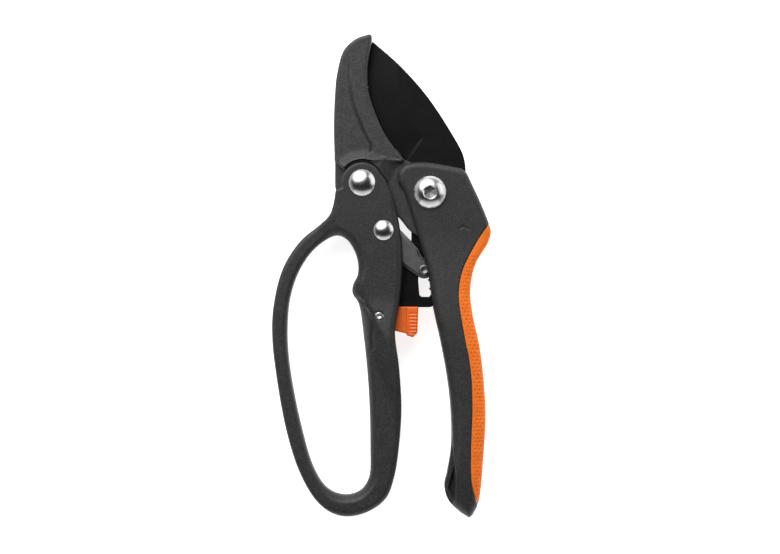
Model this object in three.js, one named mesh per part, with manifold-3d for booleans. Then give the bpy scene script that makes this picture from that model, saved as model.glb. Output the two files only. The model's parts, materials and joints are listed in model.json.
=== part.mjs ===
// Ratchet anvil pruner, lying on its back and locked shut. Millimetres, +Z up.
// The main pivot's axis is X = Y = 0, the blade points along +Y and the table is Z = 0.
// Every piece is drawn about the blade's mid-plane, which lies MID_HEIGHT above the table.
import * as THREE from 'three';
import { mergeVertices } from 'three/addons/utils/BufferGeometryUtils.js';
import Module from 'manifold-3d';

const wasm = await Module();
wasm.setup();

// Driving dimensions
const MID_HEIGHT = 11.2;          // blade's mid-plane above the table
const GAP = 0.3;                  // clearance between neighbours
const SEAT = 0.05;                // gap under a head or washer
const CUT_GAP = 0.4;              // between the cutting edge and the anvil
const BLADE_HALF = 1.5;           // half thicknesses, from the mid-plane
const LINK_HALF = 3.4;
const HUB_HALF = 4.6;
const JAW_HALF = 6.6;
const CHEEK_HALF = 8.0;
const LOOP_HALF = 5.6;
const LEFT_GRIP_HALF = 10.4;
const RIGHT_GRIP_HALF = 11.0;
const HUB_IN = BLADE_HALF + GAP;  // inner faces of the hub and of the links
const CHEEK_IN = HUB_HALF + GAP;  // inner faces of both handles' cheeks

// Pivots
const MAIN = [0, 0];              // jaw, blade and right handle
const JAW_RIVET = [-29.4, 4.2];   // left handle on the jaw
const LINK_RIVET = [-20.1, -16.4];// link on the left handle
const NOTCH = [-2.4, -33.6];      // ratchet pin in the tang's top notch
const LATCH_PIVOT = [-22, -53.5]; // thumb latch in the left handle

const HEAD_R = 9.6;               // left handle's round head
const SEAT_GAP = 0.35;            // between that head and the jaw's recess
const BOLT_R = 4;                 // M8 button-head bolt
const BUSH_R = 5.4;
const PAD = { half: 3, deep: 2.4, low: 19, high: 59 };
const BOLT_HEAD = { r: 7, height: 4.4, socket: 5, depth: 2.4 };
const NUT = { across: 13, low: -10.9, high: -8.05 };
const WASHER = { r: 8, thick: 0.9 };
const RIVET_R = 2.5;
const JAW_RIVET_HEAD = { r: 5.7, height: 2.6 };
const LINK_RIVET_HEAD = { r: 4.3, height: 2.0 };
const RATCHET_PIN_R = 1.6;
const LATCH_PIN_R = 1.7;
const PAD_TOP = 6.2;              // latch's thumb pad, from the mid-plane
const RIDGES = { count: 4, top: -52.7, pitch: 2.26, wide: 0.7, deep: 0.6 };
const SPRING = { wire: 0.55, coil: 3.7, turns: 1.6 };

// Outlines in the plane of the tool
const ANVIL_FACE = [[-26.3, 63.3], [-27.5, 55], [-27.6, 47], [-25.7, 38.9], [-19.9, 25.3], [-11.3, 14.3]];
const JAW_BACK = [
  [-41.3, 13.8], [-41.7, 27], [-41.3, 41], [-40.4, 51], [-37.2, 62], [-31.5, 67.6], [-26.6, 69],
];
const BLADE_BACK = [
  [-25, 66.2], [-13.3, 55.8], [-1.1, 42.1], [9.6, 25.9], [14.4, 17], [15.5, 12.2], [15.7, 8.8],
];
const TANG_RIGHT = [
  [15.7, 8.8], [16.4, 3], [17.5, -6], [16, -16], [11.5, -26], [8.6, -36], [6.2, -43], [3.2, -47],
];
const TANG_LEFT = [
  [-17.3, -48.4], [-16, -42], [-14, -36], [-11.6, -31], [-9.2, -26], [-8, -20], [-8.6, -13], [-11, -4],
  [-11, 13.6],
];
const LOCK_NOTCH = [[-17.6, -51], [-17.1, -50.6], [-14.6, -48.45], [-13.1, -50.6], [-13, -51]];
const RIGHT_TOP = [
  [-13.8, 4.6], [-13.9, 8.4], [-11.8, 11.6], [-8, 12.9], [-1.5, 13.1], [7.7, 11.6], [13.4, 10.4],
];
const RIGHT_INNER = [
  [-13.8, 4.6], [-10.8, -0.9], [-7, -13], [-3.3, -25], [-0.5, -36], [1.4, -49.2], [4.7, -64.4], [7.8, -81.6],
  [9.2, -95], [9.3, -110.7], [7.8, -121.5], [6.7, -127.6], [8.3, -133.4], [12.7, -138.3], [17, -141.2],
];
const RIGHT_OUTER = [
  [15.6, 8.8], [18.8, 3.1], [22.3, -4.4], [26, -13.4], [26.8, -16.9], [25.4, -21.4], [19.8, -31],
  [17.5, -42.1], [18.5, -52.8], [21.4, -66.1], [23.4, -82.5], [24.1, -97], [23.4, -114], [21.4, -134.7],
  [18.9, -140],
];
const GRIP_INNER = [
  [25.4, -14], [20.7, -20.7], [14, -34.1], [12.3, -44.5], [14.2, -59], [17.4, -76.4], [18.2, -92],
  [17.6, -113], [18, -126.2], [20.3, -134.5], [22.5, -139],
];
const FRONT_WALL = [
  [9.4, -100], [10, -111.2], [11.2, -121.8], [11.1, -132.5], [9, -137], [0, -137], [0, -100],
];
const LEFT_OUTER = [
  [-41.3, -2.2], [-41.9, -5.2], [-43.6, -9.8], [-47.4, -13.6], [-56.3, -21.1], [-63.8, -32.7],
  [-68.1, -49.6], [-68.6, -63], [-66.7, -80], [-62.2, -104.2], [-56.7, -121.4], [-49.9, -133.3],
  [-43.2, -139], [-36.2, -140.9],
];
const LEFT_GRIP_EDGE = [
  [-36.2, -140.9], [-26.8, -138.8], [-19, -132.9], [-15.5, -124], [-13.3, -110], [-12.3, -94], [-13.3, -76],
  [-15.1, -60.5], [-13.2, -48], [-11.9, -31.9], [-13, -15.5], [-15.8, -2.9], [-19.6, 6.3],
];
const LOOP_HOLE = [
  [-40.7, -18.6], [-35.8, -20.7], [-31.6, -28.5], [-31.3, -35.5], [-33.2, -39.6], [-33.8, -42.1],
  [-33.3, -44.6], [-31.1, -47.8], [-28.6, -64], [-26.6, -86], [-25.9, -110], [-26.6, -124.4],
  [-30.5, -129.8], [-37.2, -131.5], [-44.6, -128.7], [-50.4, -120.2], [-56.4, -100], [-61, -76],
  [-62.1, -60.8], [-60.7, -44.8], [-56.3, -32.7], [-49.6, -23.8],
];
const CHANNEL = [
  [-44, 16], [-44, -3], [-40.5, -6.5], [-35.5, -10.5], [-29.5, -14], [-27.6, -22], [-27.6, -32], [-28.6, -41],
  [-27, -49], [-26.2, -57], [-24, -63], [-16, -66.5], [-4, -66.5], [-4, 16],
];
const LATCH_PAD = [[-10.1, -50.4], [-5, -50.4], [-5.4, -60.9], [-7.4, -62.9], [-10.1, -62]];

// Outline helpers
function arc([x, y], r, from, to, steps) {
  const points = [];
  for (let i = 0; i <= steps; i++) {
    const a = THREE.MathUtils.degToRad(from + (to - from) * i / steps);
    points.push([x + r * Math.cos(a), y + r * Math.sin(a)]);
  }
  return points;
}

function smooth(points, closed = false, step = 4.2) {
  const knots = points.map(([x, y]) => new THREE.Vector3(x, y, 0));
  const curve = new THREE.CatmullRomCurve3(knots, closed, 'centripetal');
  const count = Math.ceil(curve.getLength() / step);
  const found = curve.getSpacedPoints(count).map(p => [p.x, p.y]);
  return closed ? found.slice(0, -1) : found;
}

function shifted(points, dx, dy = 0) {
  return points.map(([x, y]) => [x + dx, y + dy]);
}

// The X at which an outline's run of points crosses a height Y
function crossing(points, height) {
  for (let i = 1; i < points.length; i++) {
    const [[x0, y0], [x1, y1]] = [points[i - 1], points[i]];
    if ((y0 - height) * (y1 - height) <= 0 && y0 !== y1) {
      return x0 + (x1 - x0) * (height - y0) / (y1 - y0);
    }
  }
  throw new Error(`the outline does not reach ${height}`);
}

// Solid helpers

// A closed solid from a geometry whose faces all turn the same way, either outwards or inwards
function solid(geometry) {
  geometry.deleteAttribute('normal');
  geometry.deleteAttribute('uv');
  const merged = mergeVertices(geometry, 1e-4);
  const place = merged.attributes.position.array;
  const corners = Uint32Array.from(merged.index.array);
  let volume = 0;
  for (let i = 0; i < corners.length; i += 3) {
    const [a, b, c] = [0, 1, 2].map(k => new THREE.Vector3().fromArray(place, corners[i + k] * 3));
    volume += a.dot(b.cross(c));
  }
  if (volume < 0) corners.reverse();
  const vertProperties = Float32Array.from(place);
  return new wasm.Manifold(new wasm.Mesh({ numProp: 3, vertProperties, triVerts: corners }));
}

function plate(outline, low, high, round = 0) {
  const shape = new THREE.Shape(outline.map(([x, y]) => new THREE.Vector2(x, y)));
  const geometry = new THREE.ExtrudeGeometry(shape, {
    depth: high - low - 2 * round,
    bevelEnabled: round > 0,
    bevelThickness: round,
    bevelSize: round,
    bevelOffset: -round,
    bevelSegments: 2,
  });
  geometry.translate(0, 0, low + round);
  return solid(geometry);
}

function slab(outline, half, round = 0) {
  return plate(outline, -half, half, round);
}

// A solid of revolution about a pivot, from [radius, height] pairs that start and end on the axis
function turned([x, y], profile, sides = 24) {
  const geometry = new THREE.LatheGeometry(profile.map(([r, z]) => new THREE.Vector2(r, z)), sides);
  return solid(geometry.rotateX(Math.PI / 2).translate(x, y, 0));
}

function rod(pivot, r, low, high, sides = 24) {
  return turned(pivot, [[0, low], [r, low], [r, high], [0, high]], sides);
}

function ring(pivot, inner, outer, low, high, sides = 24) {
  return turned(pivot, [[inner, low], [outer, low], [outer, high], [inner, high], [inner, low]], sides);
}

// A handle's body: rounded cross-sections between two edges, one every few millimetres of Y
function grown({ left, right, from, to, half, corner, steps }) {
  const sides = 3;
  const place = [];
  const corners = [];
  const count = 4 * (sides + 1);
  for (let i = 0; i <= steps; i++) {
    const y = from + (to - from) * i / steps;
    const [x0, x1, h] = [crossing(left, y), crossing(right, y), half(i / steps)];
    const r = Math.min(corner, h - 0.2, (x1 - x0) / 2 - 0.2);
    const centres = [[x1 - r, h - r], [x0 + r, h - r], [x0 + r, r - h], [x1 - r, r - h]];
    centres.forEach((centre, quarter) => {
      arc(centre, r, 90 * quarter, 90 * quarter + 90, sides).forEach(([x, z]) => place.push(x, y, z));
    });
  }
  for (let i = 0; i < steps; i++) {
    for (let k = 0; k < count; k++) {
      const [a, b] = [i * count + k, i * count + (k + 1) % count];
      corners.push(a, b, b + count, a, b + count, a + count);
    }
  }
  for (let k = 1; k < count - 1; k++) {
    corners.push(0, k + 1, k, steps * count, steps * count + k, steps * count + k + 1);
  }
  const geometry = new THREE.BufferGeometry();
  geometry.setAttribute('position', new THREE.BufferAttribute(new Float32Array(place), 3));
  geometry.setIndex(corners);
  return solid(geometry);
}

function cut(body, ...tools) {
  return tools.reduce((rest, tool) => rest.subtract(tool), body);
}

function joined(...bodies) {
  return bodies.reduce((sum, body) => sum.add(body));
}

const pruner = new THREE.Group();
pruner.position.z = MID_HEIGHT;

function piece(name, body, look) {
  const { vertProperties, triVerts } = body.getMesh();
  const geometry = new THREE.BufferGeometry();
  geometry.setAttribute('position', new THREE.BufferAttribute(vertProperties, 3));
  geometry.setIndex(new THREE.BufferAttribute(triVerts, 1));
  geometry.computeVertexNormals();
  const mesh = new THREE.Mesh(geometry, look);
  mesh.name = name;
  pruner.add(mesh);
}

function look(color, roughness, metalness) {
  return new THREE.MeshStandardMaterial({ color, roughness, metalness });
}

const COATED = look(0x3c3c3c, 0.75, 0.1);
const JAW_COATED = look(0x444444, 0.75, 0.1);
const BLACK_STEEL = look(0x1b1b1b, 0.45, 0.5);
const SATIN_STEEL = look(0x8a8a8a, 0.45, 0.9);
const CHROME = look(0xd8d8d8, 0.12, 1);
const SOFT_ORANGE = look(0xd86b26, 0.85, 0);
const LATCH_ORANGE = look(0xe6783b, 0.5, 0);
const ANVIL_METAL = look(0x9c9c98, 0.5, 0.9);
const NYLON = look(0xd9d6cc, 0.6, 0);

// Blade and tang

// The closed slot that the ratchet pin slides in, with the notches on its right-hand side
function slotOutline() {
  const notch = (y, x) => arc([x, y], 2, 62, -62, 4);
  return [
    ...arc(NOTCH, RATCHET_PIN_R + 2 * GAP, 160, 20, 6),
    ...notch(-36.2, -1.9), ...notch(-40.1, -1.5), ...notch(-43.6, -1.4),
    ...arc([-3.2, -44], 1.3, 270, 180, 3),
    [-5, -38],
  ];
}

function bladeOutline() {
  return [
    ...shifted(smooth(ANVIL_FACE), CUT_GAP).reverse(),
    ...smooth(BLADE_BACK),
    ...smooth(TANG_RIGHT).slice(1),
    ...arc([-0.6, -46], 3.9, -25, -90, 4),
    ...arc([-15.4, -47.9], 2, 270, 200, 3),
    ...smooth(TANG_LEFT).slice(1, -1),
  ].reverse();
}

function makeBlade() {
  const body = slab(bladeOutline(), BLADE_HALF);
  const bushHole = rod(MAIN, BUSH_R + GAP, -3, 3);
  piece('blade', cut(body, slab(slotOutline(), 3), slab(LOCK_NOTCH, 3), bushHole), BLACK_STEEL);
}

// Anvil jaw: a thick cutting arm over a forked hub
function jawOutline() {
  return [
    ...smooth(JAW_BACK),
    [-25.2, 67.6],
    ...smooth(ANVIL_FACE),
    [-12.9, 12.6], [-22, 13.3],
    ...arc(JAW_RIVET, HEAD_R + SEAT_GAP, 68, 146, 9),
  ];
}

function hubOutline() {
  return [
    [-41.2, 16], [-30, 24], [-14, 18.5], [-11.8, 14.2],
    ...arc(MAIN, 12, 110, -98, 16),
    ...arc([-4.5, -15], 3.8, -50, -130, 3),
    ...smooth([[-9.5, -15.6], [-14.1, -10.2], [-20, -7.6], [-28, -7.4]]),
    ...arc(JAW_RIVET, 11.6, 262, 186, 6),
  ];
}

// A strip along the anvil's face, from low to high in Y
function anvilStrip(low, high, back, front = 0) {
  const face = smooth(ANVIL_FACE).filter(([, y]) => y > low && y < high);
  return [...shifted(face, front), ...shifted(face, -back, -back / 2).reverse()];
}

function makeJaw() {
  const body = joined(slab(jawOutline(), JAW_HALF, 1), slab(hubOutline(), HUB_HALF, 0.4));
  const fork = slab([...arc(MAIN, 19.8, 134, 330, 20), [20, 20], [-9, 15.2]], HUB_IN);
  const heel = slab([[-18, 20], [-16, 15.6], [-10, 10], [-6, 14], [-12, 24]], HUB_IN);
  const groove = slab(anvilStrip(PAD.low - 2.2, PAD.high + 2.5, PAD.deep + GAP, 4), PAD.half + GAP);
  const holes = [rod(MAIN, BUSH_R + GAP, -9, 9), rod(JAW_RIVET, RIVET_R + GAP, -9, 9)];
  piece('anvil_jaw', cut(body, fork, heel, groove, ...holes), JAW_COATED);
  piece('anvil_pad', slab(anvilStrip(PAD.low, PAD.high, PAD.deep), PAD.half), ANVIL_METAL);
}

// Right handle: cheeks over the hub, a solid spine that holds the tang, and a soft grip
function rightOutline() {
  return [
    ...smooth(RIGHT_TOP, false, 2.4),
    ...smooth([RIGHT_TOP.at(-1), ...RIGHT_OUTER]).slice(1),
    ...smooth(RIGHT_INNER).reverse().slice(0, -1),
  ].reverse();
}

// Room between the cheeks for the hub's lobe, the links and the ratchet pin
function rightPocket() {
  return joined(
    slab([...arc(MAIN, 19.8, 110, 294, 18), [6, -6]], CHEEK_IN),
    rod(MAIN, 12.4, -CHEEK_IN, CHEEK_IN),
    slab([[-12, -12], [4, -18], [3.2, -30], [3.4, -47], [5, -58], [2, -62], [-9, -50]], CHEEK_IN));
}

// The slot that the tang is held in, open towards the left handle
function tangSlot() {
  return joined(
    slab(shifted(bladeOutline(), 0.35), HUB_IN),
    slab(shifted(bladeOutline(), -0.35, -0.3), HUB_IN),
    slab([[-16, -40], [3, -40], [3, -58], [-16, -58]], HUB_IN));
}

// Half the grip's thickness, from t = 0 at its top to 1 at its end
function rightSwell(t) {
  const growth = (RIGHT_GRIP_HALF - CHEEK_HALF + 0.2) * Math.sin(Math.PI / 2 * Math.min(1, 1.25 * t));
  const taper = 8 * Math.max(0, t - 0.8);
  return CHEEK_HALF - 0.2 + growth - taper;
}

function makeRightHandle() {
  const swell = grown({
    left: smooth(RIGHT_INNER),
    right: smooth(RIGHT_OUTER),
    from: -22,
    to: -138,
    steps: 24,
    half: rightSwell,
    corner: 4.2,
  });
  const whole = slab(rightOutline(), CHEEK_HALF, 1.6).add(swell);
  const inner = smooth(GRIP_INNER);
  const seat = slab([...shifted(inner, -GAP), [40, -139], [40, -13.6]], 20);
  const wallCuts = [plate(FRONT_WALL, 4.5, 20), plate(FRONT_WALL, -20, -4.5)];
  const boltHole = rod(MAIN, BOLT_R + GAP, -20, 20);
  const washerSeat = rod(MAIN, WASHER.r + GAP, -20, -CHEEK_HALF + WASHER.thick + SEAT);
  const body = cut(whole, seat, rightPocket(), tangSlot(), ...wallCuts, boltHole, washerSeat);
  piece('right_handle', body, COATED);
  piece('grip_insert', whole.intersect(slab([...inner, [40, -139], [40, -14]], 20)), SOFT_ORANGE);
}

// Main pivot: bolt, bush, washer and nut
function makeMainPivot() {
  const top = CHEEK_HALF + BOLT_HEAD.height;
  const dome = arc([0, 0], 1, 8, 80, 6);
  const bolt = turned(MAIN, [
    [0, -MID_HEIGHT], [BOLT_R, -MID_HEIGHT], [BOLT_R, CHEEK_HALF + SEAT], [BOLT_HEAD.r, CHEEK_HALF + SEAT],
    ...dome.map(([x, y]) => [BOLT_HEAD.r * x, CHEEK_HALF + BOLT_HEAD.height * y]),
    [0, top],
  ], 40);
  const socket = rod(MAIN, BOLT_HEAD.socket / Math.sqrt(3), top - BOLT_HEAD.depth, top + 6, 6);
  const nut = rod(MAIN, NUT.across / Math.sqrt(3), NUT.low, NUT.high, 6);
  const washer = ring(MAIN, BOLT_R + 0.2, WASHER.r, -CHEEK_HALF, -CHEEK_HALF + WASHER.thick);
  piece('pivot_bolt', cut(bolt, socket), CHROME);
  piece('pivot_bush', ring(MAIN, BOLT_R + 0.1, BUSH_R, -HUB_HALF, HUB_HALF), SATIN_STEEL);
  piece('pivot_washer', washer, CHROME);
  piece('pivot_nut', cut(nut, rod(MAIN, BOLT_R + 0.2, -20, 0)), CHROME);
}

// Left handle: forked top, open channel for the link and latch, full grip and closed finger loop
function leftOutline() {
  return [
    ...arc(JAW_RIVET, HEAD_R, 24, 192, 18),
    ...smooth([...LEFT_OUTER, ...LEFT_GRIP_EDGE.slice(1)]).slice(0, -1),
  ];
}

// The thick part of the handle: its fork and the stretch beside the top of the loop
function forkOutline() {
  const above = ([, y]) => y > -66;
  return [
    ...arc(JAW_RIVET, HEAD_R, 24, 192, 18),
    ...smooth(LEFT_OUTER.slice(0, 3)),
    [-43, -18.4],
    ...smooth(LOOP_HOLE.slice(0, 10)).filter(above),
    ...smooth(LEFT_GRIP_EDGE).filter(above).slice(0, -1),
  ];
}

// Half the grip's thickness, from t = 0 beside the latch to 1 at the bottom of the loop
function leftSwell(t) {
  const growth = (LEFT_GRIP_HALF - CHEEK_HALF + 0.2) * Math.sin(Math.PI / 2 * Math.min(1, 1.7 * t));
  const taper = 13.6 * Math.max(0, t - 0.75);
  return CHEEK_HALF - 0.2 + growth - taper;
}

function makeLeftHandle() {
  const loop = cut(slab(leftOutline(), LOOP_HALF, 1.8), slab(smooth(LOOP_HOLE, true), 20));
  const swell = grown({
    left: smooth(LOOP_HOLE.slice(3, 12)),
    right: smooth(LEFT_GRIP_EDGE),
    from: -40,
    to: -122,
    steps: 18,
    half: leftSwell,
    corner: 4.5,
  });
  const whole = joined(loop, slab(forkOutline(), CHEEK_HALF, 1.6), swell);
  const holes = [
    rod(JAW_RIVET, RIVET_R + GAP, -20, 20),
    rod(LINK_RIVET, RIVET_R + GAP, -20, 20),
    rod(LATCH_PIVOT, LATCH_PIN_R + GAP, -20, 20),
  ];
  piece('left_handle', cut(whole, slab(CHANNEL, CHEEK_IN), ...holes), COATED);
}

// A rivet with a domed front head, and the washer and closed end behind
function makeRivet(name, pivot, head) {
  const washer = { low: -CHEEK_HALF - SEAT - 0.8, high: -CHEEK_HALF - SEAT };
  const end = washer.low - SEAT;
  const dome = arc([0, 0], 1, 6, 82, 6);
  const body = turned(pivot, [
    [0, end - 1.2], [RIVET_R + 0.8, end - 1.2], [RIVET_R + 1.3, end - 0.6], [RIVET_R + 1.3, end],
    [RIVET_R, end], [RIVET_R, CHEEK_HALF + SEAT], [head.r, CHEEK_HALF + SEAT],
    ...dome.map(([x, y]) => [head.r * x, CHEEK_HALF + head.height * y]),
    [0, CHEEK_HALF + head.height],
  ]);
  piece(name, body, CHROME);
  piece(`${name}_washer`, ring(pivot, RIVET_R + 0.2, head.r, washer.low, washer.high), SATIN_STEEL);
}

// Link: two steel cheeks either side of the tang, with their spacers, spring and ratchet pin
function linkOutline() {
  return [
    ...arc(LINK_RIVET, 5.4, 48, 225, 12),
    [-11.8, -31.8], [-5, -36.6],
    ...arc(NOTCH, 3.8, 235, 375, 9),
    [-3.6, -27.4], [-4.9, -24.6], [-8.3, -20.8],
  ];
}

function makeLink() {
  const holes = [rod(LINK_RIVET, RIVET_R + GAP, -9, 9), rod(NOTCH, RATCHET_PIN_R + 0.1, -9, 9)];
  const spacer = { low: LINK_HALF + 0.1, high: CHEEK_IN - 0.1 };
  piece('link_front', cut(plate(linkOutline(), HUB_IN, LINK_HALF), ...holes), SATIN_STEEL);
  piece('link_rear', cut(plate(linkOutline(), -LINK_HALF, -HUB_IN), ...holes), SATIN_STEEL);
  piece('link_spacer_front', ring(LINK_RIVET, RIVET_R + 0.2, 4.6, spacer.low, spacer.high), NYLON);
  piece('link_spacer_rear', ring(LINK_RIVET, RIVET_R + 0.2, 4.6, -spacer.high, -spacer.low), NYLON);
  const pin = turned(NOTCH, [
    [0, -4.4], [2.1, -4.4], [2.4, -3.5], [RATCHET_PIN_R, -3.5],
    [RATCHET_PIN_R, 3.5], [2.4, 3.5], [2.1, 4.4], [0, 4.4],
  ]);
  const sleeve = ring(LINK_RIVET, RIVET_R + 0.1, RIVET_R + 0.5, -HUB_IN + 0.1, HUB_IN - 0.1);
  piece('ratchet_pin', pin, SATIN_STEEL);
  piece('spring_sleeve', sleeve, SATIN_STEEL);
}

// Opening spring: a few turns round the link's rivet, one leg on the handle's web and one on the links
function makeSpring() {
  const { wire, coil, turns } = SPRING;
  const [cx, cy] = LINK_RIVET;
  const start = 190;
  const rise = turns * wire;
  const points = [new THREE.Vector3(-26.2, -26.5, -rise)];
  for (let i = 0; i <= 20; i++) {
    const a = THREE.MathUtils.degToRad(start - 360 * turns * i / 20);
    const z = rise * (i / 10 - 1) * 1.02;
    points.push(new THREE.Vector3(cx + coil * Math.cos(a), cy + coil * Math.sin(a), z));
  }
  const end = THREE.MathUtils.degToRad(start - 360 * turns);
  const [x, y] = [coil * Math.cos(end) + 5 * Math.sin(end), coil * Math.sin(end) - 5 * Math.cos(end)];
  points.push(new THREE.Vector3(cx + x, cy + y, rise));
  const section = new THREE.Shape(arc([0, 0], wire, 0, 300, 5).map(([u, v]) => new THREE.Vector2(u, v)));
  const extrudePath = new THREE.CatmullRomCurve3(points);
  const wound = new THREE.ExtrudeGeometry(section, { steps: 48, extrudePath });
  piece('opening_spring', solid(wound), SATIN_STEEL);
}

// Thumb latch and its pin. The stem's tooth locks into the notch in the tang's bottom edge.
function makeLatch() {
  const stem = [
    ...arc(LATCH_PIVOT, 3.3, 100, 250, 8),
    [-19, -58], [-14.8, -60.2], [-9.9, -61.4], [-9.9, -50.4],
    [-13.6, -50.4], [-14.5, -49], [-16.1, -50.4], [-19.6, -50.9],
  ];
  const grooves = [];
  for (let i = 0; i < RIDGES.count; i++) {
    const y = RIDGES.top - RIDGES.pitch * i;
    const groove = [[-9.2, y], [-4, y], [-4, y - RIDGES.wide], [-9.2, y - RIDGES.wide]];
    grooves.push(plate(groove, PAD_TOP - RIDGES.deep, PAD_TOP + 1));
    grooves.push(plate(groove, -PAD_TOP - 1, RIDGES.deep - PAD_TOP));
  }
  const body = joined(slab(stem, 4.2, 0.3), slab(LATCH_PAD, PAD_TOP, 0.6));
  piece('latch', cut(body, rod(LATCH_PIVOT, LATCH_PIN_R + GAP, -9, 9), ...grooves), LATCH_ORANGE);
  piece('latch_pin', rod(LATCH_PIVOT, LATCH_PIN_R, -9.1, 9.1), CHROME);
}

makeBlade();
makeJaw();
makeRightHandle();
makeMainPivot();
makeLeftHandle();
makeRivet('jaw_rivet', JAW_RIVET, JAW_RIVET_HEAD);
makeRivet('link_rivet', LINK_RIVET, LINK_RIVET_HEAD);
makeLink();
makeSpring();
makeLatch();

export default pruner;
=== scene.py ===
"""Looks of the ratchet anvil pruner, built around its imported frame.

Shapes are drawn in millimetres about the main pivot's axis and the blade's mid-plane, as the CAD model
draws them. A casting, the blade, a link or the latch is a distance field on a grid, so its edges and joins
get real radii, and skin() turns the field into a mesh in metres, in the frame's own place. Fasteners are
turned from a profile, and the spring is a tube along its route. The parts that the CAD model draws well
enough keep their CAD meshes and get a material and eased edges.
"""
import json
import math

import bpy
import numpy as np
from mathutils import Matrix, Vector


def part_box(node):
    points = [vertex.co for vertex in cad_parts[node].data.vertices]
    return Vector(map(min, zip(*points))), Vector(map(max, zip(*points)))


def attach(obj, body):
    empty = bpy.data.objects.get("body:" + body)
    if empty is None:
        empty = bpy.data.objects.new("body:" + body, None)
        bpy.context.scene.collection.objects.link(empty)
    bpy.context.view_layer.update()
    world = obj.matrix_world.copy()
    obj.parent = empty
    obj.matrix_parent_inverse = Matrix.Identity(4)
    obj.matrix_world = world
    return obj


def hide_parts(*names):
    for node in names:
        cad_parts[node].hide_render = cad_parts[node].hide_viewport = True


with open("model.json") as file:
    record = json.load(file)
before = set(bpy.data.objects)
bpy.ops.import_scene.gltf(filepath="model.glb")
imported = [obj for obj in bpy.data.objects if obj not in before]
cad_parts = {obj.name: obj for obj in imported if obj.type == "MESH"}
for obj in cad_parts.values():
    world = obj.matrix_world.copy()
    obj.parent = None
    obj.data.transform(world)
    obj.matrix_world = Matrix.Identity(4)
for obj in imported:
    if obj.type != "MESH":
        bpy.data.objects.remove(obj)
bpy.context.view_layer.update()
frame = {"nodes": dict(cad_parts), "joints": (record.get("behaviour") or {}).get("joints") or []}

MM = 0.001
JOINTS = {joint["name"]: [c / MM for c in joint["pos_m"]] for joint in frame["joints"]}
MID_HEIGHT = JOINTS["jaw_open"][2]
MAIN = (0.0, 0.0)
JAW_RIVET = tuple(JOINTS["handle_swing"][:2])
LINK_RIVET = tuple(JOINTS["link_swing"][:2])
LATCH_PIVOT = tuple(JOINTS["latch_release"][:2])


def middle(node):
    """The centre of a CAD node in X and Y, in millimetres."""
    low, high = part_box(node)
    return tuple((low[i] + high[i]) / 2 / MM for i in (0, 1))


def heights(node):
    """The lowest and highest points of a CAD node above the mid-plane, in millimetres."""
    return [corner[2] / MM - MID_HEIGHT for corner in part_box(node)]


def half_depth(node):
    """Half of a CAD node's thickness, in millimetres."""
    low, high = heights(node)
    return (high - low) / 2


NOTCH = middle("ratchet_pin")
JAW_HALF = half_depth("anvil_jaw")
BLADE_HALF = half_depth("blade")
LEFT_GRIP_HALF = half_depth("left_handle")
RIGHT_GRIP_HALF = half_depth("right_handle")
LATCH_HALF = half_depth("latch")

# Sizes in millimetres. A HALF is measured from the mid-plane.
GAP = 0.3
HUB_HALF = 4.6
CHEEK_HALF = 8.0
LOOP_HALF = 5.6
CHEEK_IN = HUB_HALF + GAP
HUB_IN = BLADE_HALF + GAP
INSIDE = 0.05          # how far the grips stay inside the CAD's thickness, and heads stand off a cheek
MAIN_BORE = 5.7        # round the bush, in the blade and the jaw
BOLT_BORE = 4.3        # in the right handle
RIVET_BORE = 2.8
SWING_R = 19.8         # room for the hub and the blade to swing
HUB_R = 12
HUB_CORNER_R = 11.85   # the hub round the jaw rivet
HEAD_R = 8.95          # the left handle's round head
SEAT_GAP = 0.15        # between that head and the jaw
SHOULDER_END_R = 17.9  # the jaw's shoulder stops short of the right handle's swing
LATCH_PIN_BORE = 1.85  # in the left handle
LIP = 0.45             # how far the jaw's lip laps over the blade's edge
EDGE_SHIFT = 0.4       # how far the cutting edge lies from the drawn face

# Outlines in millimetres, each named for the part and the side that it draws
ANVIL_FACE = [(-26.3, 63.3), (-27.5, 55), (-27.6, 47), (-25.7, 38.9), (-19.9, 25.3), (-11.3, 14.3)]
JAW_BACK = [(-41.3, 13.8), (-41.7, 27), (-41.3, 41), (-40.4, 51), (-37.2, 62), (-31.5, 67.05), (-26.8, 68.6)]
JAW_GROOVE = [(-34.5, 61.5), (-34.9, 52.5), (-33.7, 40.8), (-32.3, 35.4), (-29.7, 28.7), (-27.6, 24.1),
              (-25.5, 20.3), (-25.4, 18)]
BLADE_BACK = [(-25, 66.2), (-13.3, 55.8), (-1.1, 42.1), (9.6, 25.9), (14.4, 17), (15.5, 12.2), (15.7, 8.8)]
TANG_RIGHT = [(15.7, 8.8), (16.4, 3), (17.5, -6), (16, -16), (11.5, -26), (8.6, -36), (6.2, -43), (3.2, -47)]
TANG_LEFT = [(-17.3, -48.4), (-16, -42), (-14, -36), (-11.6, -31), (-9.2, -26), (-8, -20), (-8.6, -13),
             (-11, -4), (-11, 13.6)]
LOCK_NOTCH = [(-17.6, -51), (-17.1, -50.6), (-14.6, -48.45), (-13.1, -50.6), (-13, -51)]
RIGHT_TOP = [(-13.8, 4.6), (-13.9, 8.4), (-11.8, 11.6), (-8, 12.9), (-1.5, 13.1), (7.7, 11.6), (13.4, 10.4)]
RIGHT_INNER = [(-13.8, 4.6), (-10.8, -0.9), (-7, -13), (-3.3, -25), (-0.5, -36), (1.4, -49.2), (4.7, -64.4),
               (7.8, -81.6), (9.2, -95), (9.3, -110.7), (7.6, -121.5), (6.4, -127.6), (8, -133.5),
               (12.7, -138.3), (17, -141.2)]
RIGHT_OUTER = [(13.4, 10.4), (15.6, 8.8), (18.5, 3.1), (22, -4.4), (25.6, -13.4), (26.5, -16.9),
               (25.4, -21.4), (19.8, -31), (17.5, -42.1), (18.5, -52.8), (21.4, -66.1), (23.4, -82.5),
               (24.1, -97), (23.2, -114), (21, -134.7), (18.5, -140)]
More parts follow.
